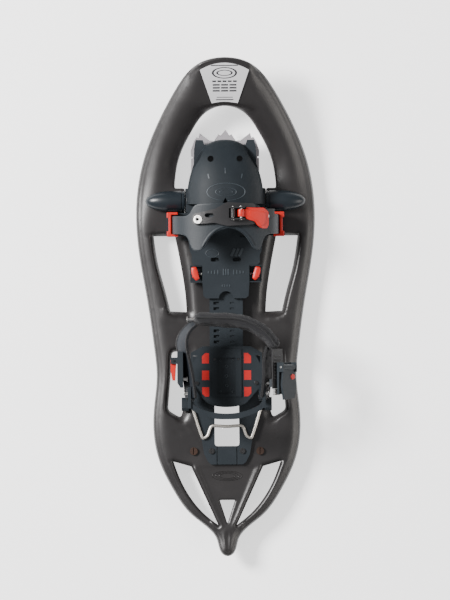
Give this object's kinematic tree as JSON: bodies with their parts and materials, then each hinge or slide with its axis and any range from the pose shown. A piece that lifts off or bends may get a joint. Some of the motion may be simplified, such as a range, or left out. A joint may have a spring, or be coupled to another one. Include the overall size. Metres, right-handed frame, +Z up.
{
  "type": "snowshoe",
  "caption": "Moulded snowshoe deck with pivoting length-adjustable binding, toe claw, toe cap, ratchet straps, heel cup and wire heel lifter.",
  "frame": {"origin": "centre of the ground rectangle, at the tips of the deck spikes", "axes": "+Y to the toe, +X to the right, +Z up"},
  "size_m": [0.2262, 0.63, 0.122],
  "materials": {
    "deck_plastic": "satin moulded, fine grain",
    "slate_plastic": "satin moulded",
    "red_plastic": "semi-gloss moulded",
    "black_plastic": "satin moulded",
    "buckle_plastic": "satin moulded",
    "nylon": "plain",
    "silver_badge": "silver, semi-gloss",
    "claw_steel": "grey coated steel",
    "wire_steel": "polished round wire",
    "fastener_steel": "zinc plated",
    "pad_fabric": "padded woven fabric"
  },
  "bodies": {
    "deck": {"deck_frame": "deck_plastic", "nose_badge": "silver_badge", "pivot_boss_left": "slate_plastic", "pivot_boss_right": "slate_plastic", "pivot_bush_left": "nylon", "pivot_bush_right": "nylon", "heel_rest_plate": "slate_plastic", "rest_plate_screws": "fastener_steel", "deck_spikes": "fastener_steel", "spike_screws": "fastener_steel", "lifter_clip_left": "slate_plastic", "lifter_clip_right": "slate_plastic"},
    "binding": {"binding_chassis": "slate_plastic", "toe_crampon": "claw_steel", "claw_rivets": "fastener_steel", "pivot_axle": "fastener_steel", "toe_cap": "slate_plastic", "toe_cap_screws": "fastener_steel", "forefoot_saddle": "slate_plastic", "strap_buckle_plate": "buckle_plastic", "strap_rivet": "fastener_steel", "toe_ladder_strap": "black_plastic", "ladder_rivet": "fastener_steel", "buckle_pins": "fastener_steel", "button_spring_left": "fastener_steel", "button_spring_right": "fastener_steel"},
    "strap_lever": {"strap_lever": "red_plastic"},
    "buckle_pawl": {"buckle_pawl": "buckle_plastic"},
    "clip_left": {"saddle_clip_left": "red_plastic"},
    "clip_right": {"saddle_clip_right": "red_plastic"},
    "button_left": {"length_button_left": "red_plastic"},
    "button_right": {"length_button_right": "red_plastic"},
    "heel_unit": {"length_rail": "slate_plastic", "heel_plate": "slate_plastic", "heel_pads": "red_plastic", "heel_screws": "fastener_steel", "cup_rivets": "fastener_steel"},
    "ankle_cuff": {"heel_cup": "slate_plastic", "ankle_arm_left": "slate_plastic", "ankle_arm_right": "slate_plastic", "ankle_pad": "pad_fabric", "ratchet_anchor": "slate_plastic", "ankle_rivets": "fastener_steel", "ankle_ladder_strap": "black_plastic", "ladder_teeth_plate": "fastener_steel", "ankle_buckle": "buckle_plastic", "ankle_pin": "fastener_steel", "adjuster_body": "slate_plastic", "adjuster_pin": "fastener_steel"},
    "ankle_lever": {"ankle_lever": "buckle_plastic", "ankle_lever_cap": "red_plastic"},
    "adjuster_lever": {"adjuster_lever": "red_plastic"},
    "lifter": {"heel_lifter": "wire_steel"}
  },
  "joints": [
    {"name": "binding_pitch", "type": "hinge", "parent": "deck", "child": "binding", "pos_m": [0, 0.134, 0.037], "axis": [-1, 0, 0], "range_deg": [0, 55]},
    {"name": "heel_slide", "type": "slide", "parent": "binding", "child": "heel_unit", "axis": [0, 1, 0], "range_m": [-0.028, 0.035]},
    {"name": "cuff_tilt", "type": "hinge", "parent": "heel_unit", "child": "ankle_cuff", "pos_m": [0, -0.113, 0.0525], "axis": [1, 0, 0], "range_deg": [-10, 25]},
    {"name": "strap_lever_hinge", "type": "hinge", "parent": "binding", "child": "strap_lever", "pos_m": [0.0195, 0.118, 0.108], "axis": [0, -1, 0], "range_deg": [0, 75]},
    {"name": "pawl_hinge", "type": "hinge", "parent": "binding", "child": "buckle_pawl", "pos_m": [0.0095, 0.118, 0.107], "axis": [0, -1, 0], "range_deg": [0, 12], "stiffness_Nm_per_rad": 0.02},
    {"name": "clip_left_lift", "type": "slide", "parent": "binding", "child": "clip_left", "axis": [0, 0, 1], "range_m": [0, 0.008]},
    {"name": "clip_right_lift", "type": "slide", "parent": "binding", "child": "clip_right", "axis": [0, 0, 1], "range_m": [0, 0.008]},
    {"name": "button_left_push", "type": "slide", "parent": "binding", "child": "button_left", "axis": [1, 0, 0], "range_m": [0, 0.003], "stiffness_N_per_m": 600, "deforming": ["button_spring_left"]},
    {"name": "button_right_push", "type": "slide", "parent": "binding", "child": "button_right", "axis": [-1, 0, 0], "range_m": [0, 0.003], "stiffness_N_per_m": 600, "deforming": ["button_spring_right"]},
    {"name": "ankle_lever_hinge", "type": "hinge", "parent": "ankle_cuff", "child": "ankle_lever", "pos_m": [0.07714, -0.076, 0.1047], "axis": [-0.7071, 0, 0.7071], "range_deg": [0, 60]},
    {"name": "adjuster_lever_hinge", "type": "hinge", "parent": "ankle_cuff", "child": "adjuster_lever", "pos_m": [-0.0662, -0.067, 0.097], "axis": [0, 0, -1], "range_deg": [0, 40]},
    {"name": "lifter_hinge", "type": "hinge", "parent": "deck", "child": "lifter", "pos_m": [0, -0.1224, 0.0363], "axis": [-1, 0, 0], "range_deg": [0, 90]}
  ]
}
